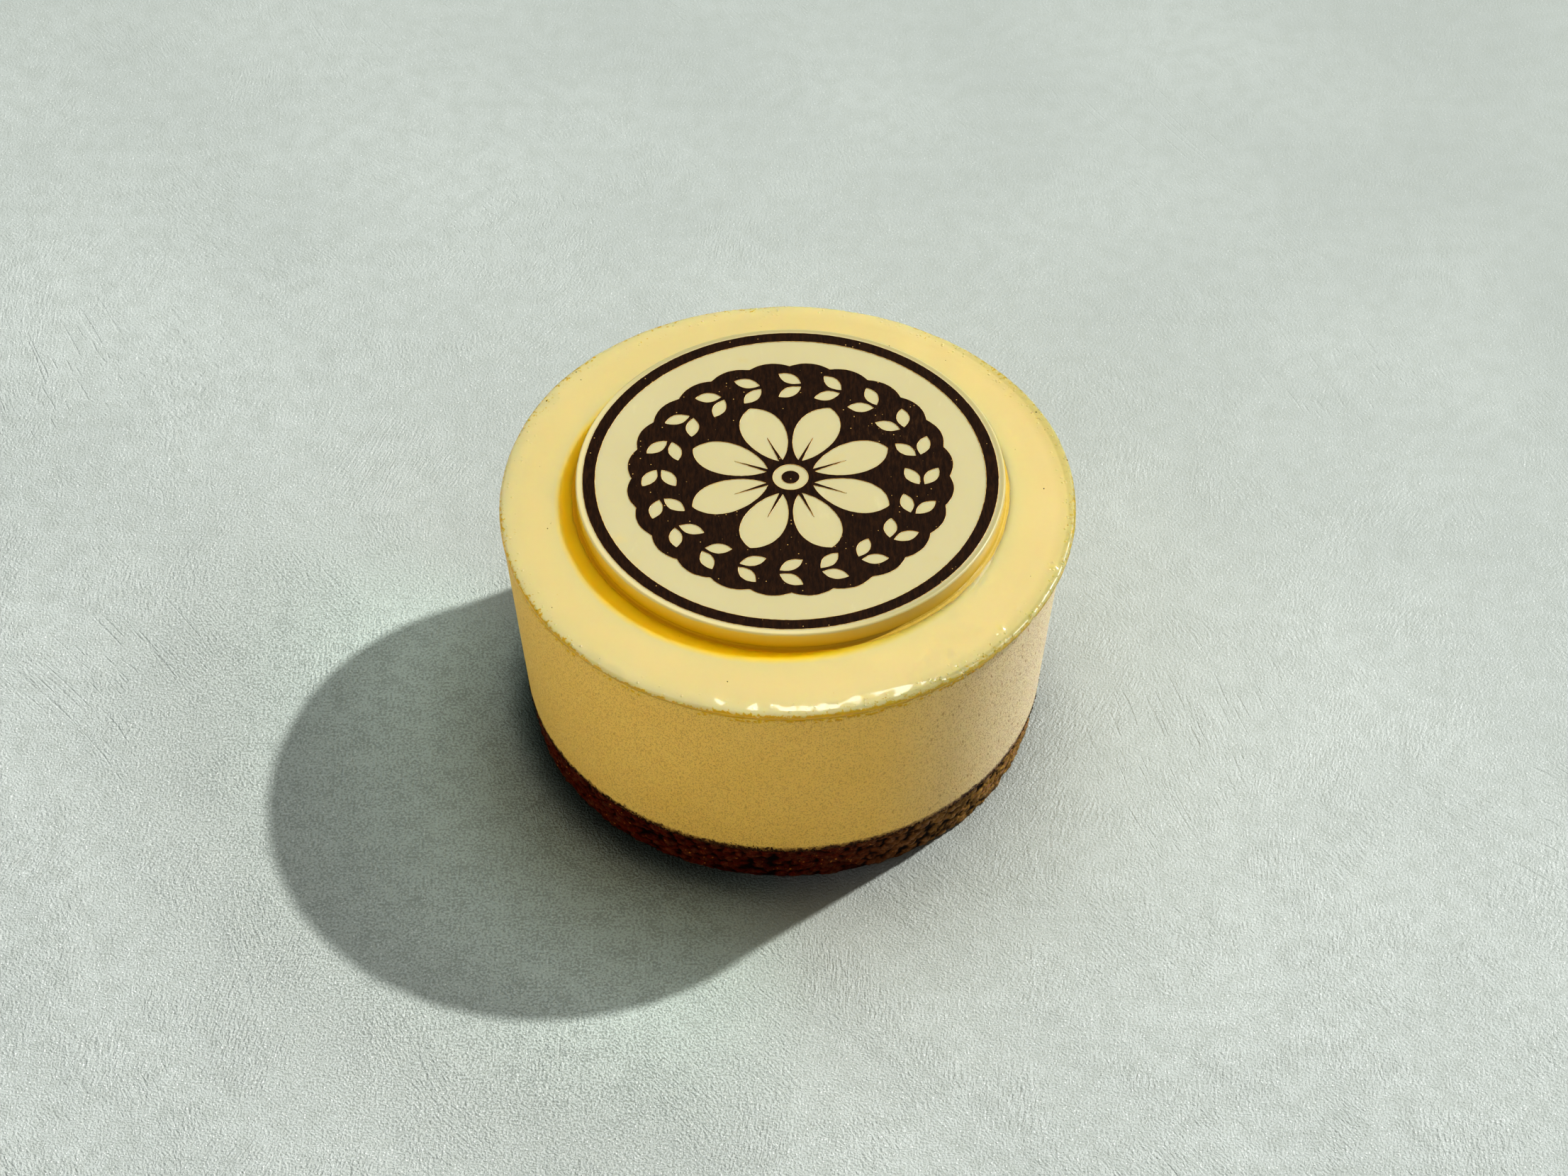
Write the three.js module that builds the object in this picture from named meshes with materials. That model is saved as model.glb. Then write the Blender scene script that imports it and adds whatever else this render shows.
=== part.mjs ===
// A small round cheesecake, made in a tapered mould and turned out wide side up: a dark biscuit crumb
// base, a pale yellow filling, a thin glossy glaze, and a white chocolate plaque with a dark print.
// Millimetres, +Z up. The origin is the middle of the foot, on the surface the cake stands on, and -Y
// is the front.
import * as THREE from "three";

// The cake
const TOP_DIAMETER = 80;
const FOOT_DIAMETER = 72.5;
const CAKE_HEIGHT = 38;
const FOOT_SHIFT = -0.25; // the cake leans a little, so its foot sits this far along X from its top
const CRUMB_HEIGHT = 6.75;
const GLAZE_THICKNESS = 1;

// The plaque, laid on a little behind and to the right of the middle
const PLAQUE_DIAMETER = 60;
const PLAQUE_THICKNESS = 2.875;
const PLAQUE_EDGE_RADIUS = 0.35;
const PLAQUE_FOOT_CHAMFER = 0.15;
const PLAQUE_X = 0.45;
const PLAQUE_Y = 2.15;

// The print: a plain ring, and a scalloped medallion with a daisy and a wreath left pale in it
const PRINT_THICKNESS = 0.125;
const BORDER_OUTER_RADIUS = 28.97;
const BORDER_WIDTH = 1.71;
const MEDALLION_RADIUS = 22.85;
const SCALLOPS = 24;
const SCALLOP_DEPTH = 0.7;
const PETALS = 8;
const PETAL_START = 3.5;
const PETAL_END = 14.8;
const PETAL_HALF_WIDTH = 3.1;
const PETAL_CONTROLS = { near: 0.2, far: 0.82, swell: 1.6 }; // shares of its length and half width
const PETAL_RIB_LENGTH = 5;
const PETAL_RIB_WIDTH = 0.5;
const LEAF_PAIRS = 20;
const WREATH_RADIUS = 18.3;
const LEAF_LENGTH = 3.8;
const LEAF_HALF_WIDTH = 0.95;
const LEAF_SLANT = THREE.MathUtils.degToRad(32); // from the wreath's own direction
const LEAF_OFFSET = 1.35; // from the middle line of the wreath to the middle of a leaf
const EYE_RADIUS = 2.5;
const EYE_DOT_RADIUS = 1.25;

// How finely the round pieces are cut up
const CAKE_SIDES = 112;
const PLAQUE_SIDES = 96;
const CURVE_STEPS = 4;

const FULL_TURN = 2 * Math.PI;
const GLAZE_BOTTOM = CAKE_HEIGHT - GLAZE_THICKNESS;
const PLAQUE_TOP = CAKE_HEIGHT + PLAQUE_THICKNESS;

const materials = {
  crumb: new THREE.MeshStandardMaterial({ color: 0x2e1a0e, roughness: 0.9 }),
  filling: new THREE.MeshStandardMaterial({ color: 0xecd08a, roughness: 0.6 }),
  glaze: new THREE.MeshStandardMaterial({ color: 0xefd078, roughness: 0.15 }),
  chocolate: new THREE.MeshStandardMaterial({ color: 0xefe6b8, roughness: 0.4 }),
  print: new THREE.MeshStandardMaterial({ color: 0x2a1a10, roughness: 0.6 }),
};

// ---- Shared ways of making shapes ----

// The mould's wall: the radius of the cake at a height.
function wallRadius(height) {
  const share = height / CAKE_HEIGHT;
  return THREE.MathUtils.lerp(FOOT_DIAMETER, TOP_DIAMETER, share) / 2;
}

// The place at a distance out from the middle, at an angle from the front towards +X.
function polar(distance, angle) {
  return [distance * Math.sin(angle), -distance * Math.cos(angle)];
}

// Random numbers from 0 to 1, the same ones each time for the same seed.
function randomNumbers(seed) {
  let state = seed;
  return () => {
    state = (Math.imul(state, 1664525) + 1013904223) >>> 0;
    return state / 2 ** 32;
  };
}

// An uneven surface around the cake: waves that close up after a full turn, from about -1 to 1.
// around and up give the most waves in a turn, and the most radians in a millimetre of height.
function unevenness(seed, waves, around, up) {
  const random = randomNumbers(seed);
  const parts = Array.from({ length: waves }, () => ({
    turns: 2 + Math.floor(random() * (around - 1)),
    climb: (2 * random() - 1) * up,
    start: random() * FULL_TURN,
  }));
  const evenOut = Math.sqrt(1 / (2 * waves));
  return (angle, height = 0) =>
    evenOut * parts.reduce((sum, w) => sum + Math.cos(w.turns * angle + w.climb * height + w.start), 0);
}

// How much of a bulge there is at an angle: 1 at its middle, given in degrees, and less and less to
// both sides. A larger sharpness makes it narrower.
function bulge(angle, middle, sharpness) {
  return Math.exp(sharpness * (Math.cos(angle - THREE.MathUtils.degToRad(middle)) - 1));
}

// Turns a profile of [radius, height] points, from its lowest to its highest, about +Z. reshape moves
// each point, given as { radius, height, angle, row }.
function turned(profile, sides, reshape = (point) => point) {
  const points = profile.map(([radius, height]) => new THREE.Vector2(radius, height));
  const geometry = new THREE.LatheGeometry(points, sides).rotateX(Math.PI / 2);
  const position = geometry.getAttribute("position");
  for (let i = 0; i < position.count; i++) {
    const row = i % profile.length;
    const angle = (Math.floor(i / profile.length) % sides) * (FULL_TURN / sides);
    const [radius, height] = profile[row];
    const moved = reshape({ radius, height, angle, row });
    position.setXYZ(i, ...polar(moved.radius, angle), moved.height);
  }
  return geometry;
}

// Shifts each level of a piece of the cake along X, by nothing at the top and most at the foot.
function leaning(geometry) {
  const position = geometry.getAttribute("position");
  for (let i = 0; i < position.count; i++) {
    const share = position.getZ(i) / CAKE_HEIGHT;
    position.setX(i, position.getX(i) + FOOT_SHIFT * (1 - share));
  }
  return geometry;
}

// Points of a quarter round from [radius, height] outside to [radius - size, height + size] above.
function quarterRound(radius, height, size, steps) {
  return Array.from({ length: steps + 1 }, (_, i) => {
    const a = (i / steps) * (Math.PI / 2);
    return [radius - size + size * Math.cos(a), height + size * Math.sin(a)];
  });
}

const cake = new THREE.Group();

function addNode(name, geometry, material, parent = cake) {
  const mesh = new THREE.Mesh(geometry, material);
  mesh.name = name;
  parent.add(mesh);
}

// ---- Where the base and the filling meet ----
// They touch on a level face out to a little inside the wall, and part a little on their way to it.
// The line that shows rises and falls, as the crumbs were pressed down by hand. Both drew back from
// the mould's wall on the right as they set.

const SEAM_WAVE = 0.45;
const SEAM_GAP = 0.45;
const SEAM_INSET = 2.6;
const SHRINKAGE = { middle: 90, sharpness: 3, reach: 1 }; // in degrees from the front towards +X
const seamWave = unevenness(11, 6, 12, 0);
const seamEdge = [wallRadius(CRUMB_HEIGHT) - SEAM_INSET, CRUMB_HEIGHT];
const seamLift = (angle) => SEAM_WAVE * seamWave(angle);
const drawnBack = (angle) => SHRINKAGE.reach * bulge(angle, SHRINKAGE.middle, SHRINKAGE.sharpness);

// ---- Crumb base: pressed biscuit crumbs, rough at the side, its lower edge crumbled away ----

const CRUMB_ROWS = 5;
const CRUMB_RELIEF = 0.3;
const CRUMB_FOOT_INSET = 0.3;
const CRUMB_FOOT_RISE = 0.3;
const CRUMB_FOOT_WEAR = 0.1; // how much further back the side is at its lowest

function crumbBase() {
  const relief = unevenness(23, 14, 56, 3);
  const lowest = CRUMB_FOOT_RISE;
  const highest = CRUMB_HEIGHT - (2 / 3) * SEAM_GAP;
  const side = Array.from({ length: CRUMB_ROWS }, (_, i) => {
    const height = THREE.MathUtils.lerp(lowest, highest, i / (CRUMB_ROWS - 1));
    return [wallRadius(height), height];
  });
  const foot = [wallRadius(0) - CRUMB_FOOT_INSET, 0];
  const profile = [[0, 0], foot, ...side, seamEdge, [0, CRUMB_HEIGHT]];
  const firstSide = 2;
  const seamRow = firstSide + CRUMB_ROWS;
  return turned(profile, CAKE_SIDES, ({ radius, height, angle, row }) => {
    if (row < 1 || row >= seamRow) return { radius, height };
    const wear = row === firstSide ? CRUMB_FOOT_WEAR : 0;
    const rough = CRUMB_RELIEF * relief(angle, height) - wear - drawnBack(angle);
    const follow = (height / CRUMB_HEIGHT) * seamLift(angle);
    return { radius: radius + rough, height: height + follow };
  });
}

addNode("crumb_base", leaning(crumbBase()), materials.crumb);

// ---- Filling: smooth from the mould's wall, and drawn in a little just below the glaze ----

const FILLING_ROWS = 7;
const FILLING_WAVE = 0.15;
const FILLING_SAG = 0.3; // how far its foot swells out over the base
const FILLING_RUN_SHARE = 0.5; // how far its top follows the glaze where that ran out
const LIP_GROOVE_DEPTH = 0.3;
const LIP_GROOVE_HEIGHT = 0.7;
const LIP_RAGGEDNESS = 0.25; // how far the groove's lower edge and its depth wander

// Where the glaze ran out past the mould's radius, in degrees from the front towards +X.
const GLAZE_RUNS = [
  { middle: 180, sharpness: 1, reach: 0.3 },
  { middle: 115, sharpness: 7, reach: 0.42 },
  { middle: 228, sharpness: 6, reach: 0.9 },
];

function glazeReach(angle) {
  return GLAZE_RUNS.reduce((sum, run) => sum + run.reach * bulge(angle, run.middle, run.sharpness), 0);
}

function filling() {
  const wave = unevenness(37, 8, 9, 0.2);
  const raggedness = unevenness(41, 10, 50, 0);
  const lowest = CRUMB_HEIGHT + SEAM_GAP / 3;
  const highest = GLAZE_BOTTOM - LIP_GROOVE_HEIGHT;
  const side = Array.from({ length: FILLING_ROWS }, (_, i) => {
    const height = THREE.MathUtils.lerp(lowest, highest, i / (FILLING_ROWS - 1));
    return [wallRadius(height), height];
  });
  const lip = [wallRadius(GLAZE_BOTTOM) - LIP_GROOVE_DEPTH, GLAZE_BOTTOM];
  const profile = [[0, CRUMB_HEIGHT], seamEdge, ...side, lip, [0, GLAZE_BOTTOM]];
  const firstSide = 2;
  const lipRow = firstSide + FILLING_ROWS;
  return turned(profile, CAKE_SIDES, ({ radius, height, angle, row }) => {
    if (row < firstSide || row > lipRow) return { radius, height };
    const ragged = LIP_RAGGEDNESS * raggedness(angle);
    const climb = (row - firstSide) / FILLING_ROWS;
    const fade = 1 - climb;
    const swell = FILLING_SAG * fade + FILLING_RUN_SHARE * climb * climb * glazeReach(angle);
    const run = swell - drawnBack(angle);
    if (row === lipRow) return { radius: radius + run + ragged / 2, height };
    const lift = fade * fade * seamLift(angle) + (row === lipRow - 1 ? ragged : 0);
    return { radius: radius + run + FILLING_WAVE * wave(angle, height), height: height + lift };
  });
}

addNode("filling", leaning(filling()), materials.filling);

// ---- Glaze: poured on top and set, with a rounded rim that ran out further at some places ----

const GLAZE_EDGE_RADIUS = 0.85;
const GLAZE_WAVE = 0.08;
const GLAZE_LIP_INSET = 0.05;
const GLAZE_FLAT_RADIUS = 34; // level as far out as this, past the plaque on every side

function glaze() {
  const wave = unevenness(53, 9, 22, 0);
  const radius = TOP_DIAMETER / 2;
  const rim = quarterRound(radius, CAKE_HEIGHT - GLAZE_EDGE_RADIUS, GLAZE_EDGE_RADIUS, CURVE_STEPS);
  const lip = [radius - GLAZE_LIP_INSET, GLAZE_BOTTOM];
  const profile = [[0, GLAZE_BOTTOM], lip, ...rim, [GLAZE_FLAT_RADIUS, CAKE_HEIGHT], [0, CAKE_HEIGHT]];
  const flatRow = profile.length - 2;
  return turned(profile, CAKE_SIDES, ({ radius, height, angle, row }) => {
    const moves = row > 0 && row < flatRow;
    return { radius: radius + (moves ? glazeReach(angle) + GLAZE_WAVE * wave(angle) : 0), height };
  });
}

addNode("glaze", leaning(glaze()), materials.glaze);

// ---- Plaque: cast white chocolate, its edges eased ----

const plaqueGroup = new THREE.Group();
plaqueGroup.position.set(PLAQUE_X, PLAQUE_Y, 0);
cake.add(plaqueGroup);

function plaque() {
  const radius = PLAQUE_DIAMETER / 2;
  const foot = [radius - PLAQUE_FOOT_CHAMFER, CAKE_HEIGHT];
  const start = [radius, CAKE_HEIGHT + PLAQUE_FOOT_CHAMFER];
  const edge = quarterRound(radius, PLAQUE_TOP - PLAQUE_EDGE_RADIUS, PLAQUE_EDGE_RADIUS, CURVE_STEPS - 1);
  return turned([[0, CAKE_HEIGHT], foot, start, ...edge, [0, PLAQUE_TOP]], PLAQUE_SIDES);
}

addNode("plaque", plaque(), materials.chocolate, plaqueGroup);

// ---- Print: coloured cocoa butter, a thin layer that stands just proud of the plaque ----

// A flat shape of the print as a closed body on top of the plaque.
function printed(shape) {
  const geometry = new THREE.ExtrudeGeometry(shape, {
    depth: PRINT_THICKNESS,
    bevelEnabled: false,
    curveSegments: CURVE_STEPS,
  });
  return geometry.translate(0, 0, PLAQUE_TOP);
}

// Follows a circle as an even-sided outline.
function roundOutline(path, radius, sides) {
  for (let i = 0; i <= sides; i++) {
    const [x, y] = polar(radius, (i / sides) * FULL_TURN);
    i ? path.lineTo(x, y) : path.moveTo(x, y);
  }
  return path;
}

// A motif is drawn lengthways from its own origin, and placed with this: along it and across it to x, y.
function placing([originX, originY], direction) {
  const [alongX, alongY] = polar(1, direction);
  return (along, across) => [
    originX + along * alongX - across * alongY,
    originY + along * alongY + across * alongX,
  ];
}

// A petal: pointed at both ends, fullest past its middle, with a dark rib up from its foot.
function petal(angle) {
  const at = placing([0, 0], angle);
  const length = PETAL_END - PETAL_START;
  const nearer = PETAL_START + PETAL_CONTROLS.near * length;
  const further = PETAL_START + PETAL_CONTROLS.far * length;
  const swollen = PETAL_CONTROLS.swell * PETAL_HALF_WIDTH;
  const rib = PETAL_RIB_WIDTH / 2;
  const path = new THREE.Path();
  path.moveTo(...at(PETAL_START, rib));
  path.bezierCurveTo(
    ...at(nearer, PETAL_HALF_WIDTH),
    ...at(further, swollen),
    ...at(PETAL_END, 0),
  );
  path.bezierCurveTo(
    ...at(further, -swollen),
    ...at(nearer, -PETAL_HALF_WIDTH),
    ...at(PETAL_START, -rib),
  );
  path.lineTo(...at(PETAL_START + PETAL_RIB_LENGTH, 0));
  path.closePath();
  return path;
}

// A leaf of the wreath: a pointed oval that slants out or in from the wreath's middle line.
function leaf(angle, side) {
  const middle = polar(WREATH_RADIUS + side * LEAF_OFFSET, angle);
  const at = placing(middle, angle + Math.PI / 2 - side * LEAF_SLANT);
  const half = LEAF_LENGTH / 2;
  const path = new THREE.Path();
  path.moveTo(...at(-half, 0));
  path.quadraticCurveTo(...at(0, 2 * LEAF_HALF_WIDTH), ...at(half, 0));
  path.quadraticCurveTo(...at(0, -2 * LEAF_HALF_WIDTH), ...at(-half, 0));
  return path;
}

function border() {
  const shape = roundOutline(new THREE.Shape(), BORDER_OUTER_RADIUS, PLAQUE_SIDES);
  shape.holes.push(roundOutline(new THREE.Path(), BORDER_OUTER_RADIUS - BORDER_WIDTH, PLAQUE_SIDES));
  return printed(shape);
}

function medallion() {
  const shape = new THREE.Shape();
  const step = FULL_TURN / SCALLOPS;
  const valley = MEDALLION_RADIUS - SCALLOP_DEPTH;
  const crest = 2 * MEDALLION_RADIUS - valley * Math.cos(step / 2);
  shape.moveTo(...polar(valley, 0));
  for (let i = 0; i < SCALLOPS; i++)
    shape.quadraticCurveTo(...polar(crest, (i + 0.5) * step), ...polar(valley, (i + 1) * step));
  for (let i = 0; i < PETALS; i++) shape.holes.push(petal(((i + 0.5) * FULL_TURN) / PETALS));
  for (let i = 0; i < LEAF_PAIRS; i++)
    for (const side of [-1, 1]) shape.holes.push(leaf((i * FULL_TURN) / LEAF_PAIRS, side));
  shape.holes.push(roundOutline(new THREE.Path(), EYE_RADIUS, PLAQUE_SIDES / 4));
  return printed(shape);
}

function eye() {
  return printed(roundOutline(new THREE.Shape(), EYE_DOT_RADIUS, PLAQUE_SIDES / 6));
}

addNode("print_border", border(), materials.print, plaqueGroup);
addNode("print_medallion", medallion(), materials.print, plaqueGroup);
addNode("print_eye", eye(), materials.print, plaqueGroup);

export default cake;
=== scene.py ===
import math

import bpy
from mathutils import Matrix, Vector


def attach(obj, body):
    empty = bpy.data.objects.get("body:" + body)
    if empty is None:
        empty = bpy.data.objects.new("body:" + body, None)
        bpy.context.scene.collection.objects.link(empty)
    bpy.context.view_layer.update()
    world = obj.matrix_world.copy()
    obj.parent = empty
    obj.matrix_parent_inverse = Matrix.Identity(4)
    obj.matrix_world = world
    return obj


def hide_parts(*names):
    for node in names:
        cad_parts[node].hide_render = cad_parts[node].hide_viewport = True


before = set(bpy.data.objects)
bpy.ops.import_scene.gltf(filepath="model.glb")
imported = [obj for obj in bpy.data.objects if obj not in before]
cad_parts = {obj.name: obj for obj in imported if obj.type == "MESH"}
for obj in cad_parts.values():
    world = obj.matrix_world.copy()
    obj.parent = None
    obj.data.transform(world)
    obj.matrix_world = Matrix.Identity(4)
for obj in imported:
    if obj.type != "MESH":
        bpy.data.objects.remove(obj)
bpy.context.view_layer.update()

# ---- Crumb base ----
# Dark biscuits, crushed with butter and pressed by hand into the foot of a ring mould. The side shows flakes
# and crumbs of all sizes with small gaps between them, and its lower edge has crumbled away a little.

MM = 0.001
FULL_TURN = 2 * math.pi

FOOT_RADIUS = 36.25 * MM
TOP_RADIUS = 40 * MM
CAKE_HEIGHT = 38 * MM
LEAN_AT_FOOT = -0.25 * MM
CRUMB_HEIGHT = 6.75 * MM
SEAM_WAVE = 0.45 * MM
SEAM_SEED = 3.7
SEAM_GAP = 0.12 * MM
CRUMB_SIDES = 1150
CRUMB_ROWS = 42
CRUMB_DEPTH = 0.5 * MM
CRUMB_SPREAD = 0.2 * MM
FLAKE_SIZE = 1.3 * MM
GRIT_SIZE = 0.45 * MM
FOOT_INSET = 0.3 * MM
RIGHT_SHRINKAGE = 1.0 * MM
WELD_DISTANCE = 1e-6
CRUMBLED_DEPTH = 0.9 * MM


def paint(red, green, blue):
    """A colour as a paint chart gives it, from 0 to 255, in the form that a shader takes."""
    linear = [((c / 255 + 0.055) / 1.055) ** 2.4 if c > 10 else c / 255 / 12.92 for c in (red, green, blue)]
    return (*linear, 1.0)


class Wire:
    """One socket of a node tree. Arithmetic on wires adds Math nodes, or Vector Math nodes where either
    of the two is a vector, and add() puts in a node of any other type."""

    def __init__(self, tree, socket=None):
        self.tree = tree
        self.socket = socket

    def add(self, kind, settings=None, inputs=None, output=None):
        node = self.tree.nodes.new(kind)
        for name, value in (settings or {}).items():
            if name == "stops":
                for stop, (position, colour) in zip(self.stops(node, len(value)), value):
                    stop.position, stop.color = position, colour
            else:
                setattr(node, name, value)
        for name, value in (inputs or {}).items():
            socket = next(s for s in node.inputs if s.enabled and name in (s.name, s.identifier))
            for one in value if isinstance(value, list) else [value]:
                if isinstance(one, Wire):
                    self.tree.links.new(one.socket, socket)
                else:
                    socket.default_value = one
        return Wire(self.tree, next(s for s in node.outputs if s.enabled and output in (None, s.name)))

    @staticmethod
    def stops(node, count):
        while len(node.color_ramp.elements) < count:
            node.color_ramp.elements.new(1.0)
        return node.color_ramp.elements

    def out(self, name):
        return Wire(self.tree, next(s for s in self.socket.node.outputs if s.enabled and s.name == name))

    def sum(self, operation, *values):
        vectors = any(isinstance(v, tuple) or isinstance(v, Wire) and v.socket.type == "VECTOR" for v in values)
        if vectors:
            values = [v if isinstance(v, (Wire, tuple)) else (v, v, v) for v in values]
        kind, name = ("ShaderNodeVectorMath", "Vector") if vectors else ("ShaderNodeMath", "Value")
        names = [name, name + "_001", name + "_002"]
        return self.add(kind, {"operation": operation}, dict(zip(names, values)))

    def __add__(self, other):
        return self.sum("ADD", self, other)

    def __radd__(self, other):
        return self.sum("ADD", other, self)

    def __sub__(self, other):
        return self.sum("SUBTRACT", self, other)

    def __rsub__(self, other):
        return self.sum("SUBTRACT", other, self)

    def __mul__(self, other):
        return self.sum("MULTIPLY", self, other)

    def __rmul__(self, other):
        return self.sum("MULTIPLY", other, self)

    def __truediv__(self, other):
        return self.sum("DIVIDE", self, other)

    def __pow__(self, other):
        return self.sum("POWER", self, other)


def clouds(place, size, detail=2.0, roughness=0.5):
    """Soft random patches from 0 to 1, each about as wide as size."""
    inputs = {"Vector": place, "Scale": 1 / size, "Detail": detail, "Roughness": roughness}
    return place.add("ShaderNodeTexNoise", {}, inputs)


def grains(place, size, randomness=1.0):
    """Random cells, each about as wide as size: 0 at their middles. Their Color is a different one for each."""
    return place.add("ShaderNodeTexVoronoi", {}, {"Vector": place, "Scale": 1 / size, "Randomness": randomness})


def drift(place, size, detail=2.0):
    """A random offset, up to a half either way along each axis, that changes over about size."""
    return clouds(place, size, detail).out("Color") - (0.5, 0.5, 0.5)


def along_axis(place, axis):
    """How far a place lies along the X, Y or Z axis."""
    return place.add("ShaderNodeSeparateXYZ", {}, {"Vector": place}, axis)


def lottery(cells, axis="X"):
    """One random number from 0 to 1 for each cell of grains()."""
    return along_axis(cells.out("Color"), axis)


def rising(value, low, high):
    """0 below low, 1 above high, and a smooth climb from one to the other."""
    inputs = {"Value": value, "From Min": low, "From Max": high}
    return value.add("ShaderNodeMapRange", {"interpolation_type": "SMOOTHSTEP"}, inputs)


def mixed(share, colour, other):
    """The first colour where share is 0, and the other where it is 1."""
    return share.add("ShaderNodeMix", {"data_type": "RGBA"}, {"Factor": share, "A": colour, "B": other})


def new_look(name, fixed):
    """A material with its fixed numbers set, and the place on the piece to draw its patterns by."""
    look = bpy.data.materials.new(name)
    look.use_nodes = True
    for socket, value in fixed.items():
        look.node_tree.nodes["Principled BSDF"].inputs[socket].default_value = value
    return look, Wire(look.node_tree).add("ShaderNodeTexCoord", output="Object")


def dress(look, patterns):
    """Leads each pattern to the shader's socket of that name."""
    for socket, wire in patterns.items():
        look.node_tree.links.new(wire.socket, look.node_tree.nodes["Principled BSDF"].inputs[socket])


def embossed(pattern, distance, strength=1.0):
    """A pattern as low relief for the light, as high as distance where it goes from 0 to 1."""
    return pattern.add("ShaderNodeBump", {}, {"Height": pattern, "Distance": distance, "Strength": strength})


def drawn_number(place, name):
    """A number that the mesh keeps at each of its points, for a material."""
    return place.add("ShaderNodeAttribute", {"attribute_name": name}, {}, "Fac")


def new_tree(name, sizes):
    """A Geometry Nodes tree with a named input for each size, and those inputs as wires."""
    tree = bpy.data.node_groups.new(name, "GeometryNodeTree")
    tree.interface.new_socket("Made", in_out="OUTPUT", socket_type="NodeSocketGeometry")
    tree.interface.new_socket("Drawn", in_out="INPUT", socket_type="NodeSocketGeometry")
    for size, value in sizes.items():
        kind = "NodeSocketInt" if isinstance(value, int) else "NodeSocketFloat"
        tree.interface.new_socket(size, in_out="INPUT", socket_type=kind)
    start = tree.nodes.new("NodeGroupInput")
    return tree, {socket.name: Wire(tree, socket) for socket in start.outputs if socket.name}


def finish_tree(geometry, look):
    """Ends a tree: real meshes instead of instances, in their material."""
    real = geometry.add("GeometryNodeRealizeInstances", {}, {"Geometry": geometry})
    worn = geometry.add("GeometryNodeSetMaterial", {}, {"Geometry": real, "Material": look})
    end = geometry.tree.nodes.new("NodeGroupOutput")
    geometry.tree.links.new(worn.socket, end.inputs[0])


def grow(name, tree, sizes, drawn, replaced=()):
    """Runs a tree on what was drawn, and keeps the result as a plain piece of the cake."""
    piece = bpy.data.objects.new(name, drawn)
    bpy.context.scene.collection.objects.link(piece)
    modifier = piece.modifiers.new(name, "NODES")
    modifier.node_group = tree
    for item in tree.interface.items_tree:
        if item.in_out == "INPUT" and item.name in sizes:
            modifier[item.identifier] = sizes[item.name]
    depsgraph = bpy.context.evaluated_depsgraph_get()
    grown = piece.evaluated_get(depsgraph)
    mesh = bpy.data.meshes.new_from_object(grown, preserve_all_data_layers=True, depsgraph=depsgraph)
    piece.modifiers.remove(modifier)
    piece.data = mesh
    mesh.name = name
    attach(piece, "root")
    if replaced:
        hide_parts(*replaced)
    return piece


def outline(points, numbers=None):
    """A mesh that is only a line of (radius, height) points, with numbers that go along with them."""
    mesh = bpy.data.meshes.new("outline")
    edges = [(i, i + 1) for i in range(len(points) - 1)]
    mesh.from_pydata([(radius, 0, height) for radius, height in points], edges, [])
    for name, values in (numbers or {}).items():
        mesh.attributes.new(name, "FLOAT", "POINT").data.foreach_set("value", values)
    return mesh


def position_of(wire):
    return wire.add("GeometryNodeInputPosition")


def number_of(wire, name):
    return wire.add("GeometryNodeInputNamedAttribute", {"data_type": "FLOAT"}, {"Name": name}, "Attribute")


def keep(geometry, name, value):
    inputs = {"Geometry": geometry, "Name": name, "Value": value}
    return geometry.add("GeometryNodeStoreNamedAttribute", {"data_type": "FLOAT", "domain": "POINT"}, inputs)


def shift(geometry, offset):
    return geometry.add("GeometryNodeSetPosition", {}, {"Geometry": geometry, "Offset": offset})


def outward(place):
    """The level direction away from the cake's axis."""
    return place.sum("NORMALIZE", place * (1, 1, 0))


def upward(height):
    """A height as an offset straight up."""
    return height.add("ShaderNodeCombineXYZ", {}, {"Z": height})


def turned(given, numbers=()):
    """Turns the drawn line about the axis into a closed skin that faces outwards, with its numbers kept."""
    drawn = given["Drawn"]
    rows = drawn.add("GeometryNodeAttributeDomainSize", {"component": "MESH"}, {"Geometry": drawn}, "Point Count")
    sheet = drawn.add("GeometryNodeMeshGrid", {}, {"Vertices X": given["Sides"] + 1, "Vertices Y": rows})
    index = drawn.add("GeometryNodeInputIndex")
    column = drawn.sum("FLOOR", index / rows)
    row = index - column * rows + 0.5
    angle = column * FULL_TURN / given["Sides"]

    def along(kind, value):
        inputs = {"Geometry": drawn, "Value": value, "Index": row}
        return drawn.add("GeometryNodeSampleIndex", {"data_type": kind, "domain": "POINT"}, inputs)

    point = along("FLOAT_VECTOR", position_of(drawn))
    radius, height = along_axis(point, "X"), along_axis(point, "Z")
    lean = given["Lean At Foot"] * (1 - height / CAKE_HEIGHT)
    place = {
        "X": radius * drawn.sum("SINE", angle) + lean,
        "Y": 0 - radius * drawn.sum("COSINE", angle),
        "Z": height,
    }
    for name in numbers:
        sheet = keep(sheet, name, along("FLOAT", number_of(drawn, name)))
    inputs = {"Geometry": sheet, "Position": drawn.add("ShaderNodeCombineXYZ", {}, place)}
    skin = drawn.add("GeometryNodeSetPosition", {}, inputs)
    skin = drawn.add("GeometryNodeMergeByDistance", {}, {"Geometry": skin, "Distance": WELD_DISTANCE})
    return drawn.add("GeometryNodeSetShadeSmooth", {}, {"Geometry": skin})


def seam_lift(place, wave):
    """How far the line between base and filling rises at a place round the cake."""
    around = outward(place) + (0, 0, SEAM_SEED)
    return (clouds(around, 0.45, detail=1.0) - 0.5) * 2.2 * wave


def wall(height):
    """The radius of the mould at a height."""
    return FOOT_RADIUS + (TOP_RADIUS - FOOT_RADIUS) * height / CAKE_HEIGHT


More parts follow.
